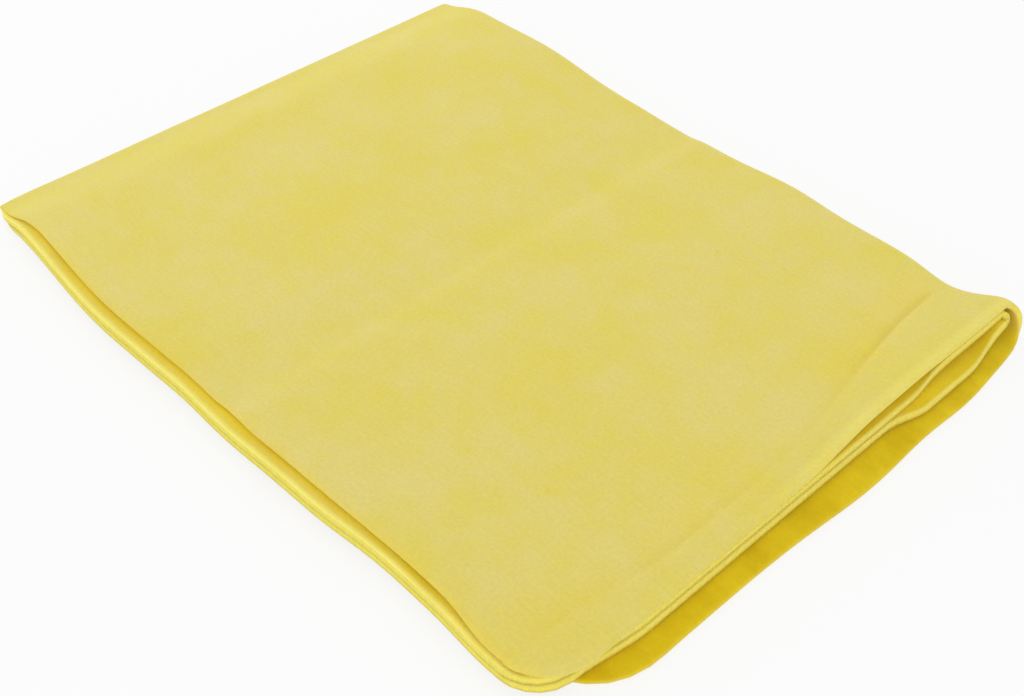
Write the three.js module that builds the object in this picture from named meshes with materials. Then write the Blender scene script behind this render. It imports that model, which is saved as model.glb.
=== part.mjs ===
import * as THREE from "three";

// A needle-felt chamois cloth: one sheet with plain cut edges and rounded corners, folded in four.
// The first folds run down one short side (the side folds), the second along one long side (the
// main fold), so the stack is, from the table up: bottom, lower inner, upper inner and top layer.
// The pieces are the regions of the sheet between its crease lines.
// X runs from the side folds to the open short side, Y from the open long side to the main fold.

// Flat cut, in millimetres
const sheetLength = 509;
const sheetWidth = 375;
const feltThickness = 2.2;
const cornerRadius = 15; // round on the cut corners of the three upper layers
const bottomCornerRadius = 32; // wider round on the corner of the bottom layer

// How the layers lie on each other
const layerGap = 0.3; // air between two layers of a tight stack
const seamGap = 0.3; // parting along a crease between two neighbouring pieces
const creaseLead = 3.95; // how far the upper side fold lies before X = 0
const tipLead = 0.8; // and how much more at its open end
const tipRun = 50; // from the open long edge
const creasePress = 0.5; // share of its thickness that the felt keeps at the side creases
const pressRun = 22; // from there to the full thickness
const pressSag = 0.8; // the upper leaf's crease sinks by this, as the lower one is pressed too
const meetRun = 28; // from a side crease, where the layers' long edges meet, to where they lie apart
const meetDepth = 45; // how far in from the long edge the sheet is drawn for that
const bottomOverhang = 5.7; // how much longer the bottom layer is than the layer on it
const leafSlip = 3.55; // how far the lower leaf has slid towards the open short side
const slipRun = 70; // stretch of sheet past the main fold over which it slid
const slantRun = 6.6; // stretch over which the cut end slants to the bottom layer's overhang
const topDraw = 1.4; // the top layer's short edge is drawn in beside the main fold
const topDrawStart = 100; // from the main fold
const topDrawFull = 60;
const innerDraw = 1.3; // the inner layers' long edge is drawn in near the open corner
const innerDrawStart = 166; // from the side folds
const innerDrawFull = 196;
const innerStep = 3.2; // the lower inner layer's short edge stands out beside the main fold
const innerStepStart = 58; // from the main fold
const innerStepFull = 42;

// Loose spots of the stack: how high, where and how wide
const leafTilt = 0.4; // rise of the inner layers at the main fold
const endTilt = 0.1; // rise of the inner layers at the open short side
const stripWidth = 20; // strip beside the open short edge, beyond its crease, at the main fold
const stripNarrow = 9; // and at the open long side
const stripRun = 100; // from the main fold to where it is that narrow
const flareHeight = 2; // lift of the top layer's strip at the open end of the main fold
const flareStart = 92; // from the main fold
const flareFull = 58;
const lensHeight = 2; // the inner layer under it follows, then drops back
const lensFull = 27; // from the main fold
const lensEnd = 42;
const tipHeight = 2; // the lower inner layer rises to the tip of the inner fold
const tipEnd = 13; // from the main fold
const tipBack = 2; // the tip lies back from the outer fold
const tipBackRun = 35;
const loftHeight = 2.6; // swelling of the upper leaf over the corner where the folds cross
const loftPlace = 45; // from the side folds
const loftLength = 40;
const loftDepth = 60; // from the main fold
const loftRun = 12; // it starts at the pressed crease
const valleyDepth = 0.2; // crease that an earlier fold left across the top layer, less than the gap
const valleyStart = 98; // from the side folds
const valleyPlace = 125;
const valleyEnd = 133;
// Gentle waves of the main fold, seen from above: where along X, how wide and how far out or in
const farSwellPlace = 34;
const farSwellWidth = 42;
const farSwellHeight = 3.7;
const midSwellPlace = 168;
const midSwellWidth = 16;
const midSwellHeight = 2;
const nearHollowPlace = 231;
const nearHollowWidth = 13;
const nearHollowDepth = 3.3;
const endSwellPlace = 243;
const endSwellWidth = 6;
const endSwellHeight = 1.9;
// of the open long edge, which is drawn out in two places
const longSwellPlace = 70;
const longSwellWidth = 42;
const longSwellHeight = 4.3;
const lowSwellPlace = 134;
const lowSwellWidth = 34;
const lowSwellHeight = 2.2;
// and of the bottom layer's short edge: where from the main fold
const wideBulgePlace = 76;
const wideBulgeWidth = 24;
const wideBulgeHeight = 2.4;
const smallBulgePlace = 33;
const smallBulgeWidth = 14;
const smallBulgeHeight = 2.8;

// Steps of the meshes
const stepsToValley = 9; // along X, from the side folds to the old crease
const stepsInValley = 3; // down to its bottom
const stepsToStrip = 7; // from its far side to the strip
const stepsInStrip = 6; // and on to the open short edge
const stepsAcross = 9; // along Y, from the main fold to the rounded corner
const stepsInCorner = 4;
const stepsRoundOuterFold = 8;
const stepsRoundInnerFold = 6;

// The layers lie one pitch apart: the side folds bend round half a pitch, the middle of the main
// fold round a whole one.
const pitch = feltThickness + layerGap;
const sideRadius = pitch / 2;
const mainRadius = pitch;
const middleHeight = mainRadius + sideRadius + feltThickness / 2;
const upperBase = mainRadius + pitch; // underside of the upper leaf
const quarter = Math.PI / 2;
const halfLength = sheetLength / 2;
const leafWidth = sheetWidth / 2;
const openEnd = halfLength - creaseLead - quarter * sideRadius * creasePress;
const stripStart = openEnd - stripWidth;

const easeIn = (value, from, to) => THREE.MathUtils.smoothstep(value, from, to);
const easeOut = (value, from, to) => 1 - easeIn(value, from, to);
const swell = (value, place, width) => Math.exp(-(((value - place) / width) ** 2));

// How far the main fold, the open long edge and the bottom layer's short edge lie off a straight line
const foldWave = (x) =>
  farSwellHeight * swell(x, farSwellPlace, farSwellWidth) +
  midSwellHeight * swell(x, midSwellPlace, midSwellWidth) -
  nearHollowDepth * swell(x, nearHollowPlace, nearHollowWidth) +
  endSwellHeight * swell(x, endSwellPlace, endSwellWidth);
const edgeWave = (x) =>
  -longSwellHeight * swell(x, longSwellPlace, longSwellWidth) -
  lowSwellHeight * swell(x, lowSwellPlace, lowSwellWidth);
const bottomWave = (pastFold) =>
  wideBulgeHeight * swell(pastFold, wideBulgePlace, wideBulgeWidth) +
  smallBulgeHeight * swell(pastFold, smallBulgePlace, smallBulgeWidth);

// A layer's half of the sheet is outer (top and bottom layer) or inner (the two between): side is the
// angle round the side fold, 90 degrees on the outer half and -90 on the inner one. The outer half
// bends round a wider main fold, so its long edges end further in.
const bendRadius = (side) => mainRadius + sideRadius * Math.sin(side);
const reachOf = (side) => leafWidth - quarter * bendRadius(side);

// Way along the sheet from the top of the main fold, down round it and out over the lower leaf
const wayDown = (bend, reach) => (quarter - bend) * mainRadius + (bend < 0 ? reach : 0);

// X of a leaf's side crease, and of a layer's open short edge
function creaseLine(bend, reach) {
  const slid = leafSlip * easeIn(wayDown(bend, reach), 0, slipRun);
  const tip = bend < quarter ? 0 : tipLead * easeIn(reach, leafWidth - tipRun, leafWidth);
  return slid - creaseLead - tip;
}

function endLine(isOuter, bend, reach) {
  const drawn = isOuter ? topDraw * easeOut(reach, topDrawFull, topDrawStart) : 0;
  const overhang = isOuter
    ? bottomOverhang / 2 + bottomWave(reach)
    : innerStep * easeOut(reach, innerStepFull, innerStepStart) - bottomOverhang / 2;
  const upperEnd = openEnd - drawn;
  const lowerEnd = openEnd + leafSlip + overhang;
  return lowerEnd + (upperEnd - lowerEnd) * Math.exp(-wayDown(bend, reach) / slantRun);
}

// Share of the strip beside the open short edge that lies before a point: 0 at its crease, 1 at the edge
function stripShare(x, y) {
  const width = stripWidth + (stripNarrow - stripWidth) * easeIn(-y, 0, stripRun);
  return THREE.MathUtils.clamp((x - openEnd) / width + 1, 0, 1);
}

// 0 at the open long edge, 1 at the main fold
const towardsFold = (y) => THREE.MathUtils.clamp(1 + y / leafWidth, 0, 1);

// Height that a point gains over a tight stack. outer goes from 0 on the inner layers to 1 on the
// outer ones, and upper from 0 on the lower leaf to 1 on the upper one.
function liftAt(x, y, outer, upper, fromCrease) {
  const strip = stripShare(x, y);
  const settled = leafTilt * towardsFold(y) + (endTilt * x) / halfLength;
  const lens = lensHeight * strip * easeOut(-y, lensFull, lensEnd);
  const tip = tipHeight * strip * easeOut(-y, 0, tipEnd);
  const flare = flareHeight * strip * easeOut(-y, flareFull, flareStart);
  const valley = valleyDepth * easeIn(x, valleyStart, valleyPlace) * easeOut(x, valleyPlace, valleyEnd);
  const overCorner = loftHeight * swell(x, loftPlace, loftLength) * swell(y, 0, loftDepth);
  const loft = overCorner * easeIn(fromCrease, 0, loftRun);
  const top = settled + loft + flare - valley;
  const inner = settled + upper * (loft + lens) + (1 - upper) * tip;
  return outer * upper * top + (1 - outer) * inner;
}

// How far a point is shifted along Y: the folds and edges aren't straight, the layers' long edges
// meet at the side creases, and the tip of the inner fold lies back.
function shiftAt(x, y, side, fromCrease, toLongEdge) {
  const outer = (1 + Math.sin(side)) / 2;
  const wave = foldWave(x) * towardsFold(y) ** 2 + edgeWave(x) * (1 - towardsFold(y)) ** 2;
  const apart = easeIn(fromCrease, 0, meetRun);
  const meet = quarter * sideRadius * Math.sin(side) * (1 - apart);
  const drawn = (1 - outer) * innerDraw * easeIn(x, innerDrawStart, innerDrawFull) - meet;
  const back = (1 - outer) * tipBack * stripShare(x, y) * easeOut(-y, 0, tipBackRun);
  return wave + drawn * easeOut(toLongEdge, 0, meetDepth) - back;
}

// A point of the folded sheet. side and bend are the angles round the side fold and the main fold,
// from -90 to 90 degrees; place is its X before the side fold turns it, reach its way past the main
// fold, and out its distance from the middle of the felt.
function foldedPoint(side, place, bend, reach, out) {
  const fromCrease = place - creaseLine(bend, reach);
  const pressed = creasePress + (1 - creasePress) * easeIn(fromCrease, 0, pressRun);
  const round = sideRadius + out;
  const radius = mainRadius + round * Math.sin(side);
  const outer = (1 + Math.sin(side)) / 2;
  const upper = (1 + Math.sin(bend)) / 2;
  const x = place - round * pressed * Math.cos(side);
  const y = radius * Math.cos(bend) - reach;
  const base = upper * upperBase;
  const sag = (upper * pressSag * (1 - pressed)) / (1 - creasePress);
  const height = middleHeight + radius * Math.sin(bend);
  const z = base - sag + (height - base) * pressed + liftAt(x, y, outer, upper, fromCrease);
  return [x, y + shiftAt(x, y, side, fromCrease, reachOf(side) - reach), z];
}

// A closed body of the felt's thickness over a grid of lines: pointAt(column, row, out)
function feltBody(columns, rows, pointAt) {
  const positions = [];
  const triangles = [];
  const faceSize = (columns + 1) * (rows + 1);
  for (const out of [-feltThickness / 2, feltThickness / 2])
    for (let row = 0; row <= rows; row++)
      for (let column = 0; column <= columns; column++) positions.push(...pointAt(column, row, out));
  const corner = (column, row, face) => face * faceSize + row * (columns + 1) + column;
  const quad = (a, b, c, d) => triangles.push(a, b, c, a, c, d);
  for (let row = 0; row < rows; row++)
    for (let column = 0; column < columns; column++)
      for (const face of [0, 1]) {
        const near = [corner(column, row, face), corner(column + 1, row, face)];
        const far = [corner(column, row + 1, face), corner(column + 1, row + 1, face)];
        if (face) quad(near[0], near[1], far[1], far[0]);
        else quad(near[0], far[0], far[1], near[1]);
      }
  // The walls go once round the rim of the grid.
  const rim = [];
  for (let column = 0; column < columns; column++) rim.push([column, 0]);
  for (let row = 0; row < rows; row++) rim.push([columns, row]);
  for (let column = columns; column > 0; column--) rim.push([column, rows]);
  for (let row = rows; row > 0; row--) rim.push([0, row]);
  rim.forEach((here, i) => {
    const next = rim[(i + 1) % rim.length];
    quad(corner(...here, 0), corner(...next, 0), corner(...next, 1), corner(...here, 1));
  });
  const geometry = new THREE.BufferGeometry();
  geometry.setAttribute("position", new THREE.Float32BufferAttribute(positions, 3));
  geometry.setIndex(volumeOf(positions, triangles) < 0 ? triangles.reverse() : triangles);
  geometry.computeVertexNormals();
  return geometry;
}

// Signed volume: a region that mirrors its neighbour comes out negative and is turned round.
function volumeOf(positions, triangles) {
  const [a, b, c] = [new THREE.Vector3(), new THREE.Vector3(), new THREE.Vector3()];
  let volume = 0;
  for (let i = 0; i < triangles.length; i += 3) {
    a.fromArray(positions, 3 * triangles[i]);
    b.fromArray(positions, 3 * triangles[i + 1]);
    c.fromArray(positions, 3 * triangles[i + 2]);
    volume += a.dot(b.cross(c)) / 6;
  }
  return volume;
}

// Places along X from the side fold to the open short edge: close steps in the strip, and one on
// either side of the old crease
const columnCount = stepsToValley + stepsInValley + 1 + stepsToStrip + stepsInStrip;
function placeAt(column, first, last) {
  const stretches = [
    [stepsToValley, first, valleyStart],
    [stepsInValley, valleyStart, valleyPlace],
    [1, valleyPlace, valleyEnd],
    [stepsToStrip, valleyEnd, stripStart],
    [stepsInStrip, stripStart, last],
  ];
  let step = column;
  for (const [steps, from, to] of stretches) {
    if (step <= steps) return from + ((to - from) * step) / steps;
    step -= steps;
  }
}

// Reaches from the main fold to the open long edge, with even angles round the corner
const rowCount = stepsAcross + stepsInCorner;
function reachAt(row, lastReach, radius) {
  const straight = lastReach - radius;
  if (row <= stepsAcross) return seamGap / 2 + ((straight - seamGap / 2) * row) / stepsAcross;
  return straight + radius * Math.sin((quarter * (row - stepsAcross)) / stepsInCorner);
}

const angleAt = (step, steps, spare) => ((2 * step) / steps - 1) * (quarter - spare);

function panel(isOuter, isUpper, radius) {
  const bend = isUpper ? quarter : -quarter;
  const side = isOuter ? quarter : -quarter;
  const lastReach = reachOf(side);
  return feltBody(columnCount, rowCount, (column, row, out) => {
    const reach = reachAt(row, lastReach, radius);
    const pastCorner = Math.max(0, reach - (lastReach - radius));
    const cut = radius - Math.sqrt(Math.max(0, radius ** 2 - pastCorner ** 2));
    const first = creaseLine(bend, reach) + seamGap / 2;
    const place = placeAt(column, first, endLine(isOuter, bend, reach) - cut);
    return foldedPoint(side, place, bend, reach, out);
  });
}

function mainFold(isOuter, steps) {
  const side = isOuter ? quarter : -quarter;
  const spare = seamGap / 2 / bendRadius(side);
  return feltBody(columnCount, steps, (column, row, out) => {
    const bend = angleAt(row, steps, spare);
    const place = placeAt(column, creaseLine(bend, 0) + seamGap / 2, endLine(isOuter, bend, 0));
    return foldedPoint(side, place, bend, 0, out);
  });
}

const sideSpare = seamGap / 2 / (sideRadius * creasePress);

function sideFold(isUpper) {
  const bend = isUpper ? quarter : -quarter;
  return feltBody(stepsRoundInnerFold, stepsAcross, (column, row, out) => {
    const side = angleAt(column, stepsRoundInnerFold, sideSpare);
    const reach = seamGap / 2 + ((reachOf(side) - seamGap / 2) * row) / stepsAcross;
    return foldedPoint(side, creaseLine(bend, reach), bend, reach, out);
  });
}

function cornerFold() {
  return feltBody(stepsRoundInnerFold, stepsRoundOuterFold, (column, row, out) => {
    const side = angleAt(column, stepsRoundInnerFold, sideSpare);
    const bend = angleAt(row, stepsRoundOuterFold, seamGap / 2 / bendRadius(side));
    return foldedPoint(side, creaseLine(bend, 0), bend, 0, out);
  });
}

const napYellow = "#e1d177";
const cutYellow = "#e0d062";
const shadedGold = "#dabf21";

function piece(name, colour, geometry) {
  const felt = new THREE.MeshStandardMaterial({ color: colour, roughness: 0.95, metalness: 0 });
  const mesh = new THREE.Mesh(geometry, felt);
  mesh.name = name;
  return mesh;
}

const lowerLeaf = new THREE.Group();
lowerLeaf.add(
  piece("bottom_panel", napYellow, panel(true, false, bottomCornerRadius)),
  piece("lower_inner_panel", shadedGold, panel(false, false, cornerRadius)),
  piece("lower_side_fold", cutYellow, sideFold(false)),
);

const upperLeaf = new THREE.Group();
upperLeaf.add(
  piece("upper_inner_panel", shadedGold, panel(false, true, cornerRadius)),
  piece("top_panel", napYellow, panel(true, true, cornerRadius)),
  piece("upper_side_fold", cutYellow, sideFold(true)),
);

const mainFolds = new THREE.Group();
mainFolds.add(
  piece("outer_fold", napYellow, mainFold(true, stepsRoundOuterFold)),
  piece("inner_fold", shadedGold, mainFold(false, stepsRoundInnerFold)),
  piece("corner_fold", cutYellow, cornerFold()),
);

// The cloth lies on the table with the middle of its outline over the origin.
const cloth = new THREE.Group();
cloth.add(lowerLeaf, upperLeaf, mainFolds);
const outline = new THREE.Box3().setFromObject(cloth);
const middle = outline.getCenter(new THREE.Vector3());
cloth.position.set(-middle.x, -middle.y, -outline.min.z);

const part = new THREE.Group();
part.add(cloth);

export default part;
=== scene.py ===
import math

import bmesh
import bpy
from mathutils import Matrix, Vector, noise


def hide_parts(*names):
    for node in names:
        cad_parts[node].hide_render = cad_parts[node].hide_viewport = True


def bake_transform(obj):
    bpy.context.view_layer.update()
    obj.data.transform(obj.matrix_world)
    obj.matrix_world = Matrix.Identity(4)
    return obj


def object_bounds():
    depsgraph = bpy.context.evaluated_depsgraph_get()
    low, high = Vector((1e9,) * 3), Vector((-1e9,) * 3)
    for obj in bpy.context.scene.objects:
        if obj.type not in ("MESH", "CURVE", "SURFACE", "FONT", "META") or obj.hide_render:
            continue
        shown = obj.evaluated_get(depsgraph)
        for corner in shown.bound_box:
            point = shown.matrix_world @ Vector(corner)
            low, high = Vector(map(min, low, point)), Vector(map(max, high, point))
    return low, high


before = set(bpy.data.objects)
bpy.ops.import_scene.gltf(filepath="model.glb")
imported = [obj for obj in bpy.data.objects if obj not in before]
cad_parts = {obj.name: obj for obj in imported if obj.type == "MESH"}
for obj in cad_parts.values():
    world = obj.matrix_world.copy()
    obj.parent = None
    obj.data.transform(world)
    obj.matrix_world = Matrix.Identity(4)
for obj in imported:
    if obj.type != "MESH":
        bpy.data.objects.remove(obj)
cadLow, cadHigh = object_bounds()  # box of the plain solids

mm = 0.001
quarter = math.pi / 2

# One sheet of needle felt, folded in four. Along X: from the side folds to the open short side,
# along Y: from the open long side to the main fold.
cloth = {
    "length": 509 * mm,
    "width": 375 * mm,
    "thickness": 2.2 * mm,
    "cornerRound": 14 * mm,
    "innerRound": 11.7 * mm,  # corners of the two layers between
    "bottomRound": 30 * mm,  # the bottom layer's corner is cut rounder
    "cutRound": 0.45 * mm,  # soft round of a cut edge
    "cutShare": (0.05, 0.3),  # share of the felt that it takes off: inner layers, outer ones
    # how the layers lie
    "layerGap": 0.3 * mm,
    "creaseLead": 3.95 * mm,  # the upper side fold lies this far before X = 0
    "tipLead": 3.9 * mm,  # and this much more at its open end
    "lowerTipLead": 4.4 * mm,  # the lower one comes out under it there
    "bottomOverhang": 6.1 * mm,
    "leafSlip": 3.7 * mm,  # the lower leaf has slid towards the open short side
    "slipRun": 70 * mm,
    "slantRun": 5.6 * mm,
    "creaseReach": 5.91 * mm,  # from X = 0 to the outermost point of the solids' side folds
    "foldReach": 8.52 * mm,  # from Y = 0, where the main fold starts to bend, to its outermost bulge
    # mesh steps; those along X as how many, and up to where in mm
    "innerSteps": ((56, 150), (40, 242), (8, 248), (3, 249.55), (1, 249.88), (1, 250)),
    "outerSteps": (
        (43, 116), (13, 136), (34, 226), (22, 245), (5, 248), (3, 249.55), (1, 249.88), (1, 250),
    ),
    "hairpinSteps": 10,
    "acrossSteps": 58,
    "cornerSteps": 9,
    "cutStep": 0.12 * mm,
    "mainFoldSteps": 17,  # odd, so the middle step bridges the leaves when the fold is opened flat
    "creaseFade": 160 * mm,  # the columns follow the side crease up to here
    "cutFade": 180 * mm,  # and the cut from here on
    # a point's height over the parting plane says how far it turns
    "turnHeight": 0.95 * mm,
    "innerTurn": 0.25,  # inner layer of the opened fold, raised over the outer one
}

# Loose spots: how high, where along X or Y, and how wide
lie = {
    "leafTilt": 0.4 * mm,
    "endTilt": 0.1 * mm,
    "press": (0.5, 22 * mm, 0.8 * mm),  # felt pressed thin at the side creases, its run and sag
    "tipPinch": (0.2, 26 * mm, 20 * mm),  # pressed more at their open end, along Y and X
    "arch": (0.3 * mm, 12 * mm, 28 * mm, 34 * mm, 75 * mm),  # top layer stands off beside its crease
    "archReach": (110 * mm, 175 * mm),  # towards the open long edge
    "flare": (2.0 * mm, 92 * mm, 58 * mm),  # top layer, lifted at the open end of the main fold
    "flarePeak": (0.6 * mm, -43 * mm, 14 * mm),
    "lens": (2.2 * mm, 27 * mm, 42 * mm),  # the inner layer under it follows, then drops back
    "tipRise": (2.4 * mm, 1 * mm, 13 * mm),  # the lower inner layer, near the tip of its fold
    "tipBack": (2.0 * mm, 35 * mm),
    "loft": (2.6 * mm, 45 * mm, 40 * mm, 60 * mm),  # swelling over the corner of the folds
    "loftStart": (-2 * mm, 12 * mm),  # from the side crease
    "oldCrease": (0.4, 98 * mm, 125 * mm, 133 * mm),  # faint valley across the top layer: felt pressed
    # crease beside the top layer's short edge: felt pressed, width, rise beyond
    "strip": (0.42, 1.2 * mm, 0.25 * mm),
    "stripStart": 229.5 * mm,  # its X at the main fold
    "stripOut": (11.5 * mm, 10 * mm, 100 * mm),  # from there it runs outwards, and back at the corner
    "stripBack": (4 * mm, 130 * mm, 170 * mm),
    "stripLeast": 0.25,  # share of its depth away from both ends
    "stripFold": (30 * mm, 70 * mm),  # deep up to here from the main fold
    "stripCorner": (0.3, -128 * mm, 22 * mm),
    "stripBegin": (1 * mm, 10 * mm),
    "stripCurve": (1.2, 1.2),  # the rise beyond it: largest share, and power
    "gape": (0.6 * mm, 206 * mm, 15 * mm, 22 * mm, 6 * mm),  # top layer's long edge stands off here
    "lumps": (0.32 * mm, 46 * mm),
    "smallLumps": (0.35, 2.7),  # their share, and how much finer they are
    "lumpSeeds": (3.1, 8.4),
    # waves of the main fold and of the open long edge: X, width, bulge in mm
    "foldWaves": (
        (6, 24, 4.0), (52, 28, 3.2), (122, 30, 0.6), (168, 16, 2.0), (231, 13, -3.3), (246, 6, 2.3),
    ),
    "edgeWaves": ((66, 42, -4.4), (96, 11, -0.35), (130, 24, -2.5), (164, 20, -1.15), (230, 12, -0.9)),
    # and of the bottom layer's short edge: Y, width, bulge in mm
    "endWaves": ((-163, 9, 0.6), (-74, 26, 2.4), (-31, 16.5, 1.8)),
    "innerDrawn": (1.1 * mm, 166 * mm, 196 * mm),  # inner layers' long edge, near the open corner
    "bottomDrawn": (1.4 * mm, 246 * mm, 252 * mm),  # bottom layer's long edge, up to its corner
    "topDrawn": (1.4 * mm, 100 * mm, 60 * mm),  # top layer's short edge, where it is lifted
    "underDrawn": (1.1 * mm, 46 * mm, 34 * mm),  # and the inner layer's under it
    "topOut": (1.4 * mm, 212 * mm, 232 * mm),  # top layer's long edge, near the open corner
    "cornerTuck": (2.65 * mm, 150 * mm, 175 * mm),  # inner layers' short edges, at the open corner
    "innerStep": (3.2 * mm, 58 * mm, 42 * mm),  # lower inner layer's short edge
    "innerStepTip": (0.3, 4 * mm, 22 * mm),  # share of that at the tip of its fold
    "edgeStep": (0.5 * mm, 119 * mm, 126 * mm, 128 * mm, 142 * mm),  # top layer's long edge
    "drawnDepth": 45 * mm,  # how far in from a long edge these reach
    # the layers' long edges meet at the side creases and part over this stretch: inner layers, outer ones
    "partStart": (-1 * mm, 10 * mm),
    "partStop": (7 * mm, 28 * mm),
    # felt at a cut edge, as a share of its thickness, and over what width it changes
    "topEdge": (0.62, 4.2 * mm),
    "innerEdge": (1.13, 2 * mm),
    "bottomEdge": (0.85, 1.6 * mm),
    "mostFelt": 1.15,
    "edgeRest": (0.25 * mm, 5 * mm),  # the top layer's edge sinks onto the layer under it
}

pitch = cloth["thickness"] + cloth["layerGap"]
hairpinRadius = pitch / 2
mainRadius = pitch
middleHeight = mainRadius + hairpinRadius + cloth["thickness"] / 2
leafBase = mainRadius + pitch  # underside of the upper leaf
halfLength = cloth["length"] / 2
leafWidth = cloth["width"] / 2
# X of the upper leaf's short edge
openEnd = halfLength - quarter * hairpinRadius * lie["press"][0] - cloth["creaseLead"]
# where the crease lines cross, in the frame of the solids
creaseCorner = Vector((cadLow.x + cloth["creaseReach"], cadHigh.y - cloth["foldReach"], 0))


def ease(value, start, stop):
    t = min(1, max(0, (value - start) / (stop - start)))
    return t * t * (3 - 2 * t)


def swell(value, place, width):
    return math.exp(-((value - place) / width) ** 2)


def between(pair, share):
    low, high = pair
    return low + share * (high - low)


def waves(rows, x):
    return sum(bulge * mm * swell(x, place * mm, width * mm) for place, width, bulge in rows)


def towardsFold(y):
    return min(1, max(0, 1 + y / leafWidth))


# Below, outer is 1 on the top and bottom layers and 0 on the two inner ones, upper is 1 on the upper leaf.
# X of a leaf's side crease, and of a layer's short edge, by the way down round the main fold
def creaseLine(way, upper, byLongEdge):
    tip = between((cloth["lowerTipLead"], cloth["tipLead"]), upper)
    return cloth["leafSlip"] * ease(way, 0, cloth["slipRun"]) - cloth["creaseLead"] - tip * byLongEdge


def endLine(outer, way, y):
    height, start, stop = lie["topDrawn"]
    upperEnd = openEnd - outer * height * ease(-y, start, stop)
    height, start, stop = lie["underDrawn"]
    upperEnd -= (1 - outer) * height * ease(-y, start, stop)
    lowerEnd = openEnd + cloth["leafSlip"] + (outer - 0.5) * cloth["bottomOverhang"]
    height, start, stop = lie["innerStep"]
    least, tipStart, tipStop = lie["innerStepTip"]
    inner = height * ease(-y, start, stop) * between((least, 1), ease(-y, tipStart, tipStop))
    lowerEnd += outer * waves(lie["endWaves"], y) + (1 - outer) * inner
    height, start, stop = lie["cornerTuck"]
    tuck = (1 - outer) * height * ease(-y, start, stop)
    return lowerEnd + (upperEnd - lowerEnd) * math.exp(-way / cloth["slantRun"]) - tuck


# X of the crease that runs along the open short edge of the top layer, and how deep it is
def stripLine(y):
    outwards, start, stop = lie["stripOut"]
    back, backStart, backStop = lie["stripBack"]
    return lie["stripStart"] + outwards * ease(-y, start, stop) - back * ease(-y, backStart, backStop)


def stripDepth(y):
    nearFold = 1 - ease(-y, *lie["stripFold"])
    share, place, width = lie["stripCorner"]
    depth = between((lie["stripLeast"], 1), nearFold) + share * swell(y, place, width)
    return lie["strip"][0] * depth * ease(-y, *lie["stripBegin"])


# 0 at that crease, 1 at the open short edge
def stripShare(x, y):
    line = stripLine(y)
    most, power = lie["stripCurve"]
    return min(most, max(0, (x - line) / (openEnd - line))) ** power


# Share of the felt's thickness that is left beside a side crease
def pressAt(fromCrease):
    least, run, _ = lie["press"]
    return between((least, 1), ease(fromCrease, 0, run))


# Lift of each layer
def topLift(x, y):
    height, start, stop = lie["flare"]
    peak, peakPlace, peakWidth = lie["flarePeak"]
    end = (lie["strip"][2] + height) * ease(-y, start, stop) + peak * swell(y, peakPlace, peakWidth)
    rise = end * stripShare(x, y)
    height, place, length, depth, inset = lie["gape"]
    edge = leafWidth - inset
    rise += height * swell(x, place, length) * ease(-y, edge - depth, edge)
    height, start, full, back, stop = lie["arch"]
    nearEdge = ease(-y, *lie["archReach"])
    return rise + height * ease(x, start, full) * (1 - ease(x, back, stop)) * nearEdge


def upperInnerLift(x, y):
    height, start, stop = lie["lens"]
    return height * (1 - ease(-y, start, stop)) * stripShare(x, y)


def lowerInnerLift(x, y):
    height, start, stop = lie["tipRise"]
    return height * (1 - ease(-y, start, stop)) * stripShare(x, y)


def liftAt(x, y, outer, upper, fromCrease):
    settle = lie["leafTilt"] * towardsFold(y) + lie["endTilt"] * x / halfLength
    height, place, length, depth = lie["loft"]
    loft = height * swell(x, place, length) * swell(y, 0, depth) * ease(fromCrease, *lie["loftStart"])
    inner = settle + upper * (loft + upperInnerLift(x, y)) + (1 - upper) * lowerInnerLift(x, y)
    return outer * upper * (settle + loft + topLift(x, y)) + (1 - outer) * inner


def lumpsAt(x, y, z):
    height, size = lie["lumps"]
    share, finer = lie["smallLumps"]
    softSeed, smallSeed = lie["lumpSeeds"]
    soft = noise.noise(Vector((x / size, y / size, softSeed)))
    small = noise.noise(Vector((x / size * finer, y / size * finer, smallSeed)))
    aboveTable = max(0, z - cloth["thickness"]) / (middleHeight + mainRadius + hairpinRadius)
    return height * (soft + share * small) * aboveTable


# Sideways shifts: the folds and edges aren't straight, and the layers' edges meet at the side creases
def shiftAt(x, y, outer, upper, fromCrease, toLongEdge):
    t = towardsFold(y)
    shift = waves(lie["foldWaves"], x) * t ** 2 + waves(lie["edgeWaves"], x) * (1 - t) ** 2
    height, start, stop, back, end = lie["edgeStep"]
    drawn = outer * upper * height * ease(x, start, stop) * (1 - ease(x, back, end))
    height, start, stop = lie["innerDrawn"]
    drawn += (1 - outer) * height * ease(x, start, stop)
    height, start, stop = lie["bottomDrawn"]
    drawn += outer * (1 - upper) * height * (1 - ease(x, start, stop))
    height, start, stop = lie["topOut"]
    drawn -= outer * upper * height * ease(x, start, stop)
    apart = ease(fromCrease, between(lie["partStart"], outer), between(lie["partStop"], outer))
    drawn -= (2 * outer - 1) * quarter * hairpinRadius * (1 - apart)
    height, depth = lie["tipBack"]
    back = (1 - outer) * height * min(1, stripShare(x, y)) * (1 - ease(-y, 0, depth))
    return shift + drawn * (1 - ease(toLongEdge, 0, lie["drawnDepth"])) - back


# Share of the felt near a cut edge: rounded off at the outer layers, fluffed up between them
def cutShare(toCut, outer, upper):
    share, width = (
        inner + outer * (upper * top + (1 - upper) * bottom - inner)
        for inner, top, bottom in zip(lie["innerEdge"], lie["topEdge"], lie["bottomEdge"])
    )
    return share + (1 - share) * math.sqrt(1 - (1 - min(1, max(0, toCut / width))) ** 2)


# Share of the felt right at the cut, which is softly rounded
def roundShare(toCut, outer):
    inwards = min(1, max(0, toCut / cloth["cutRound"]))
    return 1 - between(cloth["cutShare"], outer) * (1 - math.sqrt(1 - (1 - inwards) ** 2))


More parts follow.
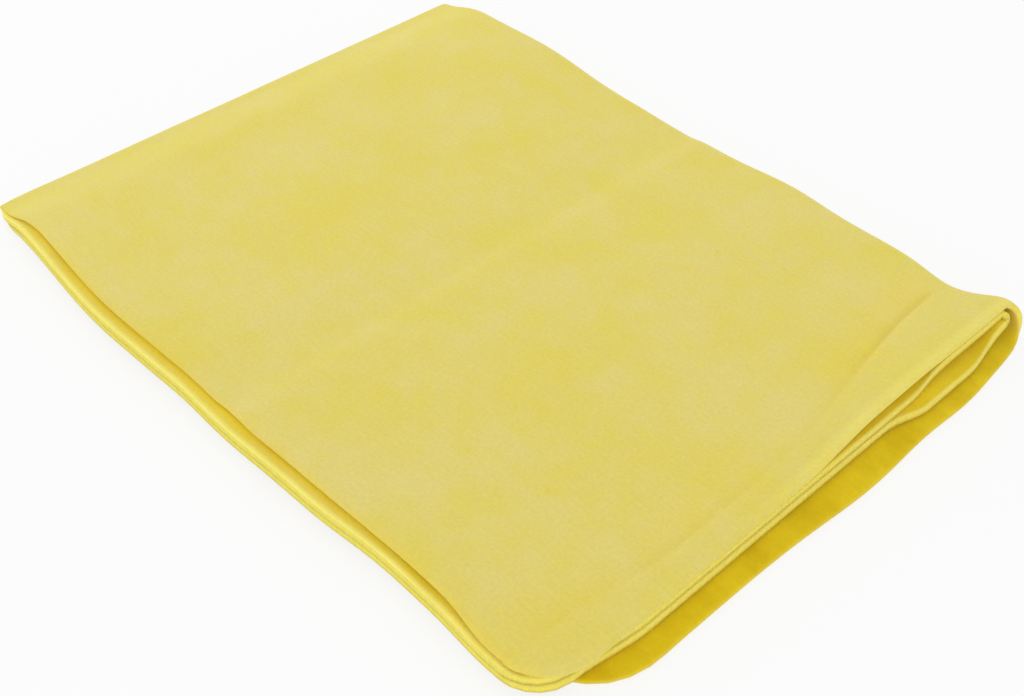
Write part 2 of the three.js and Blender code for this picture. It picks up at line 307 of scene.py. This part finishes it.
# Felt left at the creases of the top layer
def creaseShare(x, y):
    share, start, bottom, stop = lie["oldCrease"]
    old = share * ease(x, start, bottom) * (1 - ease(x, bottom, stop))
    return 1 - old - stripDepth(y) * swell(x, stripLine(y), lie["strip"][1])


# Steps along X from the side crease; the ends follow the crease and the cut
def placeAlong(step, stretches, crease, last):
    place, begin = 0, hairpinRadius
    for steps, stop in stretches:
        share = min(1, max(0, step / steps))
        place = begin + (stop * mm - begin) * share
        if step <= steps:
            break
        step -= steps
        begin = stop * mm
    end = stretches[-1][1] * mm
    place += (crease - hairpinRadius) * (1 - ease(place, 0, cloth["creaseFade"]))
    nearEnd = (place - cloth["cutFade"]) / (end - cloth["cutFade"])
    return place + (last - end) * min(1, max(0, nearEnd))


# Row of the grid to the reach past the main fold
def rowAt(row, reach):
    straight = reach - cloth["bottomRound"]
    if row <= cloth["acrossSteps"]:
        return straight * row / cloth["acrossSteps"]
    step = row - cloth["acrossSteps"]
    if step < cloth["cornerSteps"]:
        return straight + cloth["bottomRound"] * math.sin(quarter * step / cloth["cornerSteps"])
    return reach - (cloth["cutStep"] if step == cloth["cornerSteps"] else 0)


innerColumns = sum(steps for steps, _ in cloth["innerSteps"])
outerColumns = sum(steps for steps, _ in cloth["outerSteps"])
columnCount = innerColumns + cloth["hairpinSteps"] + outerColumns
leafRows = cloth["acrossSteps"] + cloth["cornerSteps"] + 1
rowCount = 2 * leafRows + cloth["mainFoldSteps"]


# Height that says how far a point turns with the upper leaf
def turnAt(bend, outer):
    turn = cloth["innerTurn"] * (1 - outer) * (1 - abs(math.sin(bend)))
    return cloth["turnHeight"] * ((1 - 2 * turn) if bend > 0 else (2 * turn - 1))


# Where shade is painted into the felt as deeper yellow, and where loose pale fibres and painted highlights
# lie; from a cut edge as start, full and fade in mm
tint = {
    "bottomStrip": (-0.4, 0.5, 8),  # painted shade on the open strip of the bottom layer, under the layers above
    "gapeSpot": (0.8, 3.2, 8),  # painted shade under the gape of the top layer
    "gapeWidth": 13 * mm,
    "lens": (-0.6, 0.8, 5),  # painted golden shade between the inner layers, at the end of their fold
    "lensEnd": (46 * mm, 66 * mm),
    "underTop": (0.3, 1.5, 8),  # painted golden shade on the underside of the top layer
    "gap": (-0.6, 0.8, 8),  # and on the layer below it, along the short edge
    "gapEnd": (125 * mm, 155 * mm),
    "ledges": ((0.5, (0, 2, 8)), (0.45, (2, 4, 8))),  # and along the long edge: share, from the cut
    "lip": (0.35, 1.5 * mm, 4.5 * mm),  # pale fibres and a painted highlight on the top layer's rolled short edge: share, from, to
    "lipFade": (0.7, 80 * mm, 120 * mm),  # share that is lost towards the open corner
    "rimStart": (0.2 * mm, 0.5 * mm),  # and on the inner layers' rims, pale fibres and painted light that lifts the shade of the grooves: where they stand open, where closed
    "rimStop": (0.8 * mm, 1.7 * mm),
    "rimClosed": (70 * mm, 95 * mm),
    "longEdge": (0.25, 0.3 * mm, 2.4 * mm),  # painted shade on the top layer, along its open long edge
    # and painted shade beside the crease near its short edge: share, place, width
    "beside": ((0.5, -1 * mm, 2.2 * mm), (0.45, -5 * mm, 7 * mm)),
}


def nearCut(toCut, stretch):
    start, full, fade = stretch
    return ease(toCut, start * mm, full * mm) * (1 - ease(toCut, fade * mm, 2 * fade * mm))


# Painted golden shade, with bounced light, in the open gap between the inner layers
def lensShade(y, toShortEdge):
    return nearCut(toShortEdge, tint["lens"]) * (1 - ease(-y, *tint["lensEnd"]))


# Painted golden shade, with bounced light, under the top layer and on the inner layers' ledges beneath it
def shadeBetween(y, outer, upper, toShortEdge, toLongEdge):
    ledge = sum(share * nearCut(toLongEdge, stretch) for share, stretch in tint["ledges"])
    gap = nearCut(toShortEdge, tint["gap"]) * (1 - ease(-y, *tint["gapEnd"]))
    return upper * max(outer * nearCut(toShortEdge, tint["underTop"]), (1 - outer) * max(ledge, gap))


# Painted shade on the top layer: along its rolled long edge and beside the crease near its short edge
def topShade(x, y, toLongEdge):
    line = stripLine(y)
    crease = sum(share * swell(x, line + aside, width) for share, aside, width in tint["beside"])
    share, start, stop = tint["longEdge"]
    return share * (1 - ease(toLongEdge, start, stop)) + stripDepth(y) * crease


# Painted deep golden shade: on the bottom layer's open strip, and under the gape of the top layer
def goldShadeAt(x, outer, upper, toShortEdge, toLongEdge):
    spot = swell(x, lie["gape"][1], tint["gapeWidth"]) * nearCut(toLongEdge, tint["gapeSpot"])
    strip = nearCut(toShortEdge, tint["bottomStrip"])
    return max(outer * (1 - upper) * strip, (1 - outer) * upper * spot)


# Pale fibres and a painted highlight along the top layer's rolled short edge
def lipFibresAndHighlight(y, toShortEdge):
    share, start, stop = tint["lip"]
    lost, fadeStart, fadeStop = tint["lipFade"]
    return share * (1 - ease(toShortEdge, start, stop)) * (1 - lost * ease(-y, fadeStart, fadeStop))


# Pale fibres and painted light on the inner layers' rims, wider where they lie closed
def rimFibresAndLight(y, toCut):
    closed = ease(-y, *tint["rimClosed"])
    return 1 - ease(toCut, between(tint["rimStart"], closed), between(tint["rimStop"], closed))


# One point of the sheet: its turn, how it lies, on the flat cut, felt left there, and its colours
def sheetPoint(column, row):
    turned = min(cloth["hairpinSteps"], max(0, column - innerColumns)) / cloth["hairpinSteps"]
    side = (2 * turned - 1) * quarter
    outer = (1 + math.sin(side)) / 2
    bent = min(cloth["mainFoldSteps"], max(0, row - leafRows)) / cloth["mainFoldSteps"]
    bend = (2 * bent - 1) * quarter
    upper = (1 + math.sin(bend)) / 2
    pastFold = max(leafRows - row, row - leafRows - cloth["mainFoldSteps"], 0)
    radius = mainRadius + hairpinRadius * math.sin(side)
    wholeReach = leafWidth - quarter * radius
    reach = rowAt(pastFold, wholeReach) if pastFold else 0
    way = (quarter - bend) * mainRadius + (reach if bend < 0 else 0)
    y = radius * math.cos(bend) - reach

    cornerRound = cloth["innerRound"]
    if outer > 0.5:
        cornerRound = cloth["cornerRound"] if upper > 0.5 else cloth["bottomRound"]
    pastCorner = max(0, reach - wholeReach + cornerRound)
    cut = cornerRound - math.sqrt(max(0, cornerRound ** 2 - pastCorner ** 2))
    toLongEdge = wholeReach - reach
    pinchShare, pinchDepth, pinchRun = lie["tipPinch"]
    byLongEdge = 1 - ease(toLongEdge, 0, pinchDepth)
    crease = creaseLine(way, upper, byLongEdge)
    last = endLine(outer, way, y) - cut
    place = crease
    if column < innerColumns:
        place = placeAlong(innerColumns - column, cloth["innerSteps"], crease, last)
    outerColumn = column - innerColumns - cloth["hairpinSteps"]
    if outerColumn > 0:
        place = placeAlong(outerColumn, cloth["outerSteps"], crease, last)
    fromCrease = place - crease
    toShortEdge = last - place
    toCut = min(toShortEdge, toLongEdge)
    pressed = pressAt(fromCrease)
    sag = lie["press"][2] * (1 - pressed) / (1 - lie["press"][0])
    pressed *= 1 - pinchShare * byLongEdge * (1 - ease(fromCrease, 0, pinchRun))
    sag += (leafBase * (1 - pressed) - sag) * byLongEdge  # there the upper leaf rests on the lower one
    x = place - hairpinRadius * pressed * math.cos(side)
    z = middleHeight + radius * math.sin(bend)

    left = cutShare(toCut, outer, upper)
    left *= 1 - outer * upper * (1 - creaseShare(x, y))
    base = upper * leafBase
    loose = base - upper * sag + (z - base) * pressed + liftAt(x, y, outer, upper, fromCrease)
    rest, restWidth = lie["edgeRest"]
    loose -= outer * upper * rest * (1 - ease(toCut, 0, restWidth))
    loose += lumpsAt(x, y, loose) - outer * (1 - left) * cloth["thickness"] / 2
    shift = shiftAt(x, y, outer, upper, fromCrease, toLongEdge)

    flatX = hairpinRadius * side + (place - crease) * (1 if side > 0 else -1)
    flatY = mainRadius * bend + reach * (1 if bend > 0 else -1)
    return {
        "turn": creaseCorner + Vector((x, y, middleHeight + turnAt(bend, outer))),
        "loose": creaseCorner + Vector((x, y + shift, loose)),
        "flat": (flatX, flatY),
        "felt": left * roundShare(toCut, outer) * pressed / lie["mostFelt"],
        "goldenShadeFront": (1 - outer) * lensShade(y, toShortEdge) + outer * upper * topShade(x, y, toLongEdge),
        "goldenShadeBack": shadeBetween(y, outer, upper, toShortEdge, toLongEdge),
        "goldShade": goldShadeAt(x, outer, upper, toShortEdge, toLongEdge),
        "fibresAndLight": outer * upper * lipFibresAndHighlight(y, toShortEdge) + (1 - outer) * rimFibresAndLight(y, toCut),
    }


def buildCloth():
    bm = bmesh.new()
    bmesh.ops.create_grid(bm, x_segments=columnCount, y_segments=rowCount, size=1)
    flatCut = bm.loops.layers.uv.new("flatCut")
    paints = {name: bm.verts.layers.float.new(name) for name in ("goldenShadeFront", "goldenShadeBack", "goldShade", "fibresAndLight")}
    points = []
    for vert in bm.verts:
        column = round((vert.co.x + 1) / 2 * columnCount)
        row = round((vert.co.y + 1) / 2 * rowCount)
        point = sheetPoint(column, row)
        points.append(point)
        vert.co = point["turn"]
        for name, layer in paints.items():
            vert[layer] = point[name]
    bmesh.ops.reverse_faces(bm, faces=bm.faces)  # the napped side outwards
    bm.verts.index_update()
    for face in bm.faces:
        face.smooth = True
        for loop in face.loops:
            loop[flatCut].uv = points[loop.vert.index]["flat"]
    mesh = bpy.data.meshes.new("chamois_cloth")
    bm.to_mesh(mesh)
    bm.free()
    piece = bpy.data.objects.new("chamois_cloth", mesh)
    bpy.context.scene.collection.objects.link(piece)
    # painted shade and highlights for the napped side and for the back
    front = {"goldenShadeFront": nap["glow"], "fibresAndLight": nap["fringeAndLight"]}
    back = {"goldenShadeBack": nap["glow"], "goldShade": nap["goldShade"], "fibresAndLight": nap["fringeAndLight"]}
    mesh.materials.append(feltMaterial("feltNap", front))
    mesh.materials.append(feltMaterial("feltBack", back))
    mesh.materials.append(cutMaterial())
    body = piece.vertex_groups.new(name="feltBody")
    for index, point in enumerate(points):
        body.add([index], point["felt"], "REPLACE")
    felt = piece.modifiers.new("felt", "SOLIDIFY")
    felt.thickness = cloth["thickness"] * lie["mostFelt"]
    felt.offset = 0
    felt.vertex_group = "feltBody"
    felt.material_offset = 1
    felt.material_offset_rim = 2
    return piece, points


# The cloth as it lies: folded, with lifted ends, pressed creases and wavy edges
def loosenCloth(piece, points):
    for vert, point in zip(piece.data.vertices, points):
        vert.co = point["loose"]


# Felt: mottled lemon and cream patches, long thin fibres and a fine nap, with the colours of its painted
# shade and highlights
nap = {
    "lemon": (0.76, 0.645, 0.128, 1),
    "cream": (0.767, 0.658, 0.212, 1),
    # painted golden shade, streaked deeper and lighter: between two layers (glow), and on the open strip
    # of the bottom layer;
    # and pale loose fibres with painted light along a cut edge
    # glow: painted golden shade with bounced light, used in the gaps and, at its deep end, in the pits
    "glow": ((0.79, 0.58, 0.008, 1), (0.87, 0.66, 0.028, 1)),
    "goldShade": ((0.7, 0.5, 0.003, 1), (0.82, 0.62, 0.012, 1)),
    "fringeAndLight": ((0.92, 0.82, 0.19, 1), (0.98, 0.88, 0.24, 1)),
    # per metre of the flat cut
    "streakScale": (60, 105, 1),
    "patchScale": 30,
    "fleckScale": 130,
    "grainScale": 950,
    "fibreScale": (70, 1500, 1),
    "streakRamp": (0.3, 0.7),
    "mottleRamp": (0.38, 0.62),
    "patchShare": 0.65,
    "fleckShare": 0.35,
    # places on the flat cut in mm, and how they are turned
    "pits": (
        (179, 56, 40), (184, 69, 35), (180, 44, 55), (180, 32, 45), (199, 35, 30),
        (183, 82, 50), (186, 132, 40), (189, 151, 60), (213, 146, 35),
    ),
    "pitSize": (1.7 * mm, 0.75 * mm, 1),
    "pitShare": 0.55,
    "fibreTurns": (25, 100, 155),
    "fibreShare": 0.4,
    "grainDepth": 0.2 * mm,
    "grainStrength": 0.5,
    "napPaintedShade": ((0.45, (0.93, 0.92, 0.88, 1)), (1.0, (1.04, 1.04, 1.05, 1))),  # painted shade: darker in the low nap, lighter on the high nap
    "roughness": 0.95,
    "shine": 0.05,
    "sheen": 0.25,
    "sheenRoughness": 0.6,
    "sheenTint": (1, 0.9, 0.35, 1),
    "through": 0.35,  # felt lets some light through, mostly red and green
    "throughReach": (1, 0.75, 0.15),
    "throughScale": 1.2 * mm,
}


def startMaterial(name):
    material = bpy.data.materials.new(name)
    material.use_nodes = True
    tree = material.node_tree
    shader = tree.nodes["Principled BSDF"]
    shader.inputs["Roughness"].default_value = nap["roughness"]
    shader.inputs["Specular IOR Level"].default_value = nap["shine"]
    shader.inputs["Subsurface Weight"].default_value = nap["through"]
    shader.inputs["Subsurface Radius"].default_value = nap["throughReach"]
    shader.inputs["Subsurface Scale"].default_value = nap["throughScale"]
    shader.inputs["Sheen Weight"].default_value = nap["sheen"]
    shader.inputs["Sheen Roughness"].default_value = nap["sheenRoughness"]
    shader.inputs["Sheen Tint"].default_value = nap["sheenTint"]
    flat = tree.nodes.new("ShaderNodeUVMap")
    flat.uv_map = "flatCut"
    return material, tree, shader, flat.outputs["UV"]


def noiseOn(tree, place, scale, detail=3, roughness=0.55):
    node = tree.nodes.new("ShaderNodeTexNoise")
    node.inputs["Scale"].default_value = scale
    node.inputs["Detail"].default_value = detail
    node.inputs["Roughness"].default_value = roughness
    tree.links.new(place, node.inputs["Vector"])
    return node.outputs["Fac"]


def mathOn(tree, operation, first, second):
    node = tree.nodes.new("ShaderNodeMath")
    node.operation = operation
    for socket, value in zip(node.inputs, (first, second)):
        if isinstance(value, (int, float)):
            socket.default_value = value
        else:
            tree.links.new(value, socket)
    return node.outputs["Value"]


def rampOn(tree, factor, stops):
    node = tree.nodes.new("ShaderNodeValToRGB")
    for element, (place, colour) in zip(node.color_ramp.elements, stops):
        element.position = place
        element.color = colour
    tree.links.new(factor, node.inputs["Fac"])
    return node.outputs["Color"]


def mixOn(tree, blend, factor, first, second):
    node = tree.nodes.new("ShaderNodeMix")
    node.data_type = "RGBA"
    node.blend_type = blend
    for socket, value in ((node.inputs[0], factor), (node.inputs[6], first), (node.inputs[7], second)):
        if hasattr(value, "is_linked"):
            tree.links.new(value, socket)
        else:
            socket.default_value = value
    return node.outputs[2]


def stretched(tree, place, scale, turn=0):
    node = tree.nodes.new("ShaderNodeMapping")
    node.inputs["Rotation"].default_value = (0, 0, math.radians(turn))
    node.inputs["Scale"].default_value = scale
    tree.links.new(place, node.inputs["Vector"])
    return node.outputs["Vector"]


# Thin fibres that lie in a few directions, as heights from 0 to 1
def fibresOn(tree, place):
    height = None
    for turn in nap["fibreTurns"]:
        strand = noiseOn(tree, stretched(tree, place, nap["fibreScale"], turn), 1, detail=2)
        height = strand if height is None else mathOn(tree, "MAXIMUM", height, strand)
    return height


def napBump(tree, shader, place):
    grain = noiseOn(tree, place, nap["grainScale"], detail=4, roughness=0.7)
    fibres = fibresOn(tree, place)
    height = mathOn(tree, "ADD", grain, mathOn(tree, "MULTIPLY", fibres, nap["fibreShare"]))
    bump = tree.nodes.new("ShaderNodeBump")
    bump.inputs["Strength"].default_value = nap["grainStrength"]
    bump.inputs["Distance"].default_value = nap["grainDepth"]
    tree.links.new(height, bump.inputs["Height"])
    tree.links.new(bump.outputs["Normal"], shader.inputs["Normal"])
    return height


def paintOn(tree, attribute, under, streaks, paint):
    node = tree.nodes.new("ShaderNodeAttribute")
    node.attribute_name = attribute
    streaked = rampOn(tree, streaks, zip(nap["streakRamp"], paint))
    return mixOn(tree, "MIX", node.outputs["Fac"], under, streaked)


# Painted shade of small pits where the needles pulled the felt in: 1 in their middle, 0 outside
def pitsOn(tree, place):
    deepest = None
    for x, y, turn in nap["pits"]:
        moved = tree.nodes.new("ShaderNodeMapping")
        moved.vector_type = "TEXTURE"
        moved.inputs["Location"].default_value = (x * mm, y * mm, 0)
        moved.inputs["Rotation"].default_value = (0, 0, math.radians(turn))
        moved.inputs["Scale"].default_value = nap["pitSize"]
        tree.links.new(place, moved.inputs["Vector"])
        away = tree.nodes.new("ShaderNodeVectorMath")
        away.operation = "LENGTH"
        tree.links.new(moved.outputs["Vector"], away.inputs[0])
        depth = mathOn(tree, "SUBTRACT", 1, away.outputs["Value"])
        deepest = depth if deepest is None else mathOn(tree, "MAXIMUM", deepest, depth)
    return mathOn(tree, "MAXIMUM", deepest, 0)


def feltMaterial(name, paints):
    material, tree, shader, place = startMaterial(name)
    patches = mathOn(tree, "MULTIPLY", noiseOn(tree, place, nap["patchScale"]), nap["patchShare"])
    flecks = mathOn(tree, "MULTIPLY", noiseOn(tree, place, nap["fleckScale"], detail=2), nap["fleckShare"])
    mottle = mathOn(tree, "ADD", patches, flecks)
    colour = rampOn(tree, mottle, zip(nap["mottleRamp"], (nap["lemon"], nap["cream"])))
    streaks = noiseOn(tree, stretched(tree, place, nap["streakScale"]), 1)
    # painted shade, bounced light and highlights over the felt's own colour
    for attribute, paint in paints.items():
        colour = paintOn(tree, attribute, colour, streaks, paint)
    # the pits get the golden shade colour as painted shade
    if name == "feltNap":
        pits = mathOn(tree, "MULTIPLY", pitsOn(tree, place), nap["pitShare"])
        colour = mixOn(tree, "MIX", pits, colour, nap["glow"][0])
    height = napBump(tree, shader, place)
    # painted shade of the nap: the colour follows the bump's height
    shade = rampOn(tree, height, nap["napPaintedShade"])
    tree.links.new(mixOn(tree, "MULTIPLY", 1, colour, shade), shader.inputs["Base Color"])
    return material


# Cut edges: paler, more saturated fibres, and painted light on top of that, lighter than the nap so that
# the side walls show about as bright as the top
cutEdge = {
    "colours": ((0.86, 0.72, 0.10, 1), (0.92, 0.78, 0.13, 1)),
    "ramp": (0.35, 0.6),
    "scale": 700,
}


def cutMaterial():
    material, tree, shader, place = startMaterial("feltCut")
    strands = noiseOn(tree, place, cutEdge["scale"], detail=4, roughness=0.7)
    colour = rampOn(tree, strands, zip(cutEdge["ramp"], cutEdge["colours"]))
    tree.links.new(colour, shader.inputs["Base Color"])
    napBump(tree, shader, place)
    return material


sheet, sheetPoints = buildCloth()
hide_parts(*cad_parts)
# the leaves part at the plane between the two inner layers
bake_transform(sheet)
loosenCloth(sheet, sheetPoints)
print("cloth folded:", columnCount, "by", rowCount, "steps")

# Floor, backdrop and light
studio = {
    "floorSize": 6.0,
    "floorColour": (0.9, 0.9, 0.9, 1),
    "floorGlow": 0.8,  # share of plain white that the camera sees in the floor
    "skyStrength": 0.77,
    # place, size, watts
    "lamps": {"softKey": ((-1.3, 0.3, 0.8), 1.3, 7.5), "softFill": ((1, -1, 0.7), 1.3, 5.6)},
}


# 1 for the rays that show the backdrop: straight, mirrored and through glass
def seenRays(tree):
    path = tree.nodes.new("ShaderNodeLightPath")
    seen = mathOn(tree, "MAXIMUM", path.outputs["Is Camera Ray"], path.outputs["Is Glossy Ray"])
    return mathOn(tree, "MAXIMUM", seen, path.outputs["Is Transmission Ray"])


def buildFloor():
    bm = bmesh.new()
    bmesh.ops.create_grid(bm, x_segments=1, y_segments=1, size=studio["floorSize"] / 2)
    mesh = bpy.data.meshes.new("floor")
    bm.to_mesh(mesh)
    bm.free()
    floor = bpy.data.objects.new("floor", mesh)
    bpy.context.scene.collection.objects.link(floor)
    material = bpy.data.materials.new("floorWhite")
    material.use_nodes = True
    tree = material.node_tree
    tree.nodes.clear()
    paint = tree.nodes.new("ShaderNodeBsdfDiffuse")
    paint.inputs["Color"].default_value = studio["floorColour"]
    glow = tree.nodes.new("ShaderNodeEmission")
    mix = tree.nodes.new("ShaderNodeMixShader")
    out = tree.nodes.new("ShaderNodeOutputMaterial")
    tree.links.new(mathOn(tree, "MULTIPLY", seenRays(tree), studio["floorGlow"]), mix.inputs[0])
    tree.links.new(paint.outputs["BSDF"], mix.inputs[1])
    tree.links.new(glow.outputs["Emission"], mix.inputs[2])
    tree.links.new(mix.outputs["Shader"], out.inputs["Surface"])
    mesh.materials.append(material)


def buildLight():
    world = bpy.data.worlds.new("studio")
    bpy.context.scene.world = world
    world.use_nodes = True
    tree = world.node_tree
    sky = tree.nodes["Background"]
    sky.inputs["Color"].default_value = (1, 1, 1, 1)
    lit = mathOn(tree, "MULTIPLY", seenRays(tree), 1 - studio["skyStrength"])
    tree.links.new(mathOn(tree, "ADD", lit, studio["skyStrength"]), sky.inputs["Strength"])
    for name, (place, size, power) in studio["lamps"].items():
        lamp = bpy.data.lights.new(name, "AREA")
        lamp.energy = power
        lamp.size = size
        holder = bpy.data.objects.new(name, lamp)
        bpy.context.scene.collection.objects.link(holder)
        holder.location = place
        holder.rotation_euler = (-holder.location).to_track_quat("-Z", "Y").to_euler()


shot = {
    "place": (364.24 * mm, -296.28 * mm, 264.65 * mm),  # from the corner of the creases
    "turn": (46.955, 0.629, 47.188),  # tilt, roll and heading in degrees
    "lens": 46.72,
    "sensor": 36,
    "nearest": 10 * mm,
}


def buildCamera():
    lens = bpy.data.cameras.new("camera")
    lens.lens = shot["lens"]
    lens.sensor_width = shot["sensor"]
    lens.clip_start = shot["nearest"]
    camera = bpy.data.objects.new("camera", lens)
    bpy.context.scene.collection.objects.link(camera)
    camera.location = creaseCorner + Vector(shot["place"])
    camera.rotation_euler = [math.radians(angle) for angle in shot["turn"]]
    bpy.context.scene.camera = camera


buildFloor()
buildLight()
buildCamera()
bpy.context.scene.view_settings.view_transform = "Standard"
print("floor, light and camera set")
